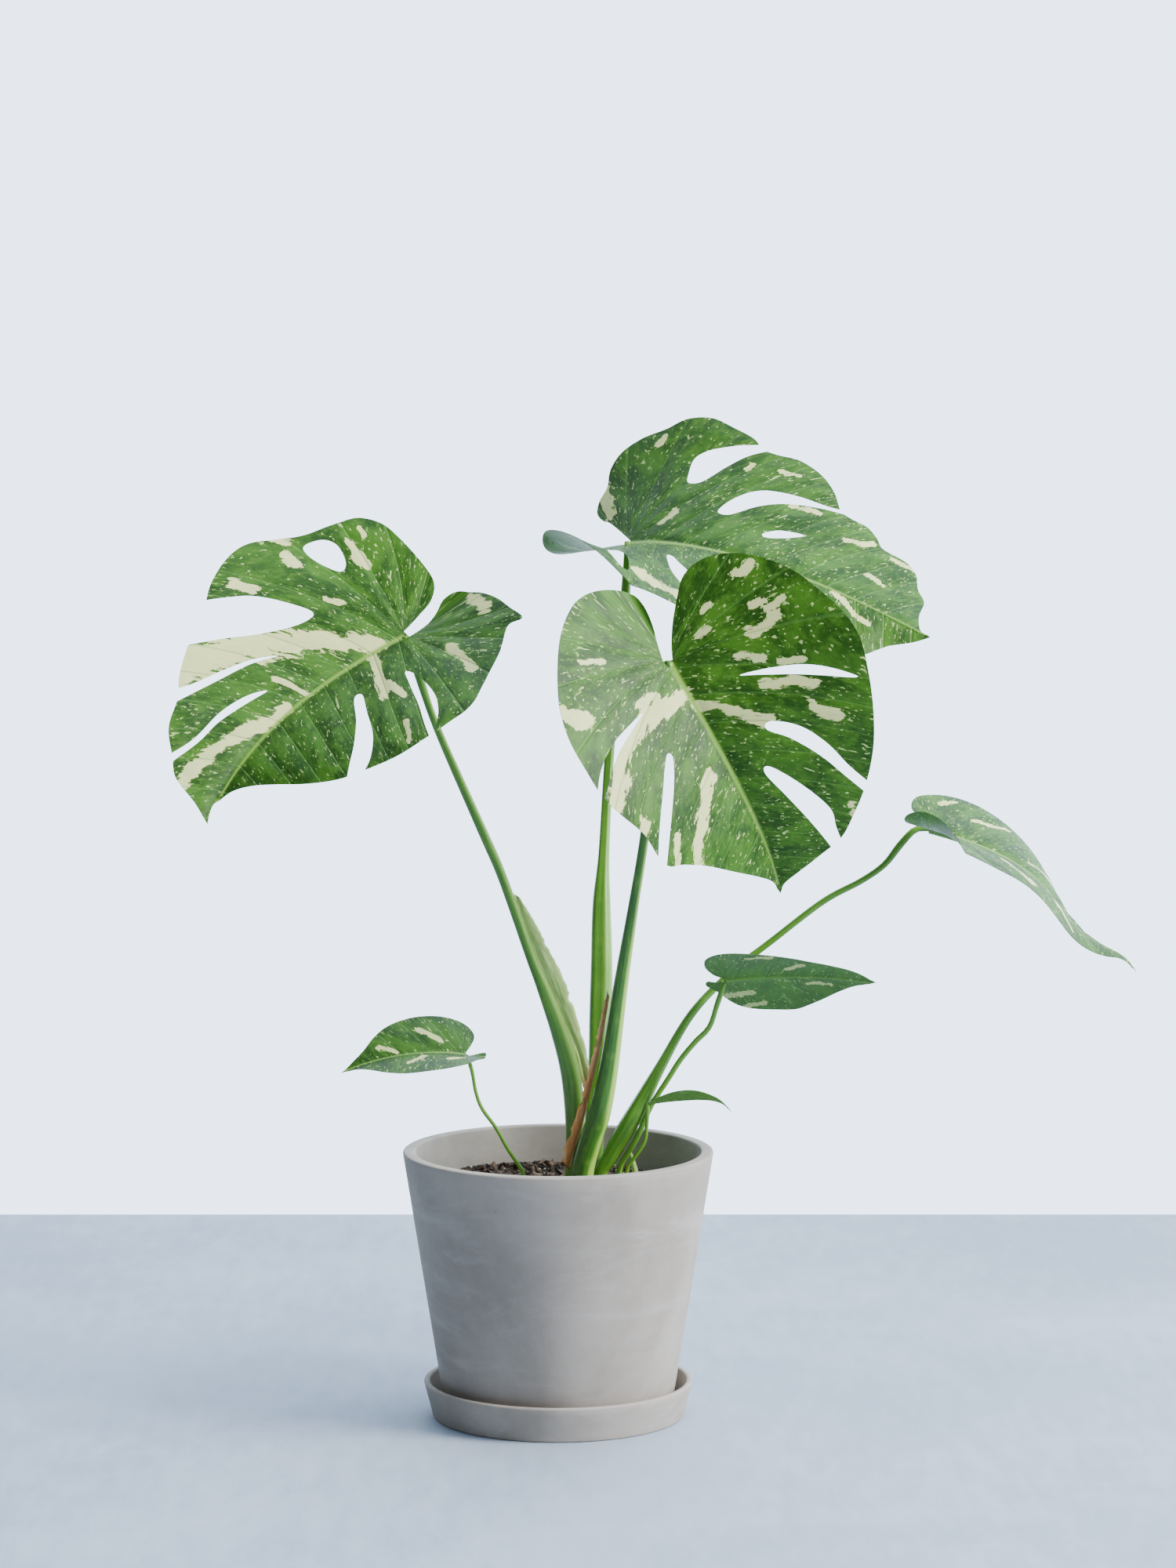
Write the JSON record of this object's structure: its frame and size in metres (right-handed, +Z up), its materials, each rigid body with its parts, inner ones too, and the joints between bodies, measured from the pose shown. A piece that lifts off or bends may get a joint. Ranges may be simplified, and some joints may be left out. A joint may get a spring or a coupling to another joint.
{
  "type": "potted monstera plant",
  "caption": "Potted swiss cheese plant with cream-speckled split leaves on long petioles, in a tapered stone-look pot standing on its saucer.",
  "frame": {"origin": "centre of the saucer's underside, on the surface it stands on", "axes": "+Z up along the axis of the pot and the saucer; +Y away from the viewer of the plant's front; +X to that viewer's right"},
  "size_m": [0.7688, 0.4071, 0.8005],
  "materials": {
    "stone": "matt warm grey stone-look composite, faintly mottled, fine grain",
    "soil": "rough dark potting mix with bark chips and pale grit",
    "leaf": "satin green, speckled and streaked with cream along the side veins",
    "petiole": "smooth satin green with pale lengthwise stripes",
    "sheath_pale": "thin cream-green membrane",
    "sheath_dried": "dry brown papery membrane"
  },
  "bodies": {
    "root": {"saucer": "stone", "pot": "stone", "soil": "soil", "leaf_left": "leaf", "leaf_front": "leaf", "leaf_top": "leaf", "leaf_right": "leaf", "leaf_small_right": "leaf", "leaf_small_left": "leaf", "leaf_newest": "leaf", "petiole_left": "petiole", "petiole_front": "petiole", "petiole_top": "petiole", "petiole_right": "petiole", "petiole_small_right": "petiole", "petiole_small_left": "petiole", "petiole_newest": "petiole", "new_shoot": "sheath_pale", "sheath_wing_left": "sheath_pale", "sheath_dried_front": "sheath_dried"}
  },
  "joints": []
}
